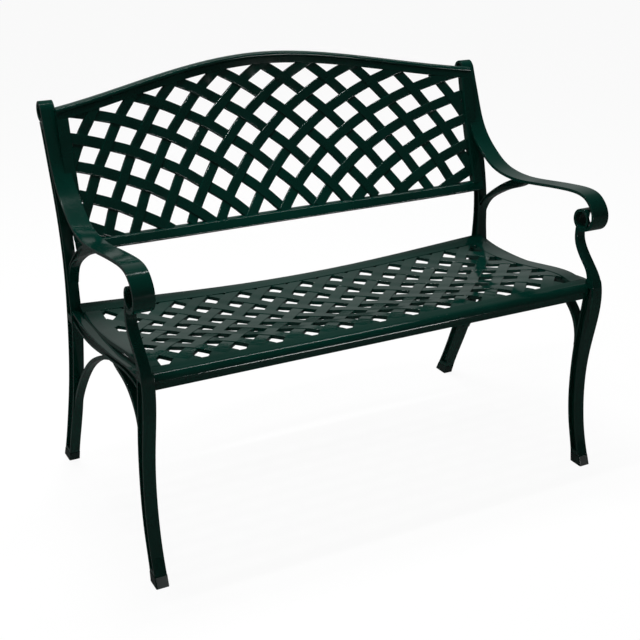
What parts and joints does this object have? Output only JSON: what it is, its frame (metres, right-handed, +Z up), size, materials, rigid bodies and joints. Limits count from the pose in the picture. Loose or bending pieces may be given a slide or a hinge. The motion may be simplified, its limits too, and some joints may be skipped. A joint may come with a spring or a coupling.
{
  "type": "garden bench",
  "caption": "Two-seat cast metal garden bench with scroll-ended arms, diamond lattice seat and bowed lattice back, gloss dark green.",
  "frame": {"origin": "on the ground, at the middle of the overall box seen from above", "axes": "+X to the sitter's left along the bench's length (right end in the front view), +Y from the seat's front towards the back, +Z up"},
  "size_m": [1.019, 0.6108, 0.853],
  "materials": {
    "green_casting": "gloss",
    "foot_casting": "satin, scuffed at the ground",
    "zinc_steel": "zinc plated, dull"
  },
  "bodies": {
    "root": {"arm_brace_left": "green_casting", "arm_brace_right": "green_casting", "arm_strap_left": "green_casting", "arm_strap_right": "green_casting", "back_bolts": "zinc_steel", "back_bottom_rail": "green_casting", "back_lattice": "green_casting", "back_lugs": "green_casting", "back_stile_left": "green_casting", "back_stile_right": "green_casting", "back_top_rail": "green_casting", "back_washers": "zinc_steel", "front_arch_left": "green_casting", "front_arch_right": "green_casting", "front_leg_left": "green_casting", "front_leg_right": "green_casting", "front_scroll_left": "green_casting", "front_scroll_right": "green_casting", "front_shoe_left": "foot_casting", "front_shoe_right": "foot_casting", "rear_arch_left": "green_casting", "rear_arch_right": "green_casting", "rear_leg_left": "green_casting", "rear_leg_right": "green_casting", "rear_shoe_left": "foot_casting", "rear_shoe_right": "foot_casting", "seat_bolts": "zinc_steel", "seat_front_rail": "green_casting", "seat_lattice": "green_casting", "seat_lugs": "green_casting", "seat_rail_left": "green_casting", "seat_rail_right": "green_casting", "seat_rear_rail": "green_casting", "seat_side_rim_left": "green_casting", "seat_side_rim_right": "green_casting", "seat_washers": "zinc_steel", "top_scroll_left": "green_casting", "top_scroll_right": "green_casting"}
  },
  "joints": []
}
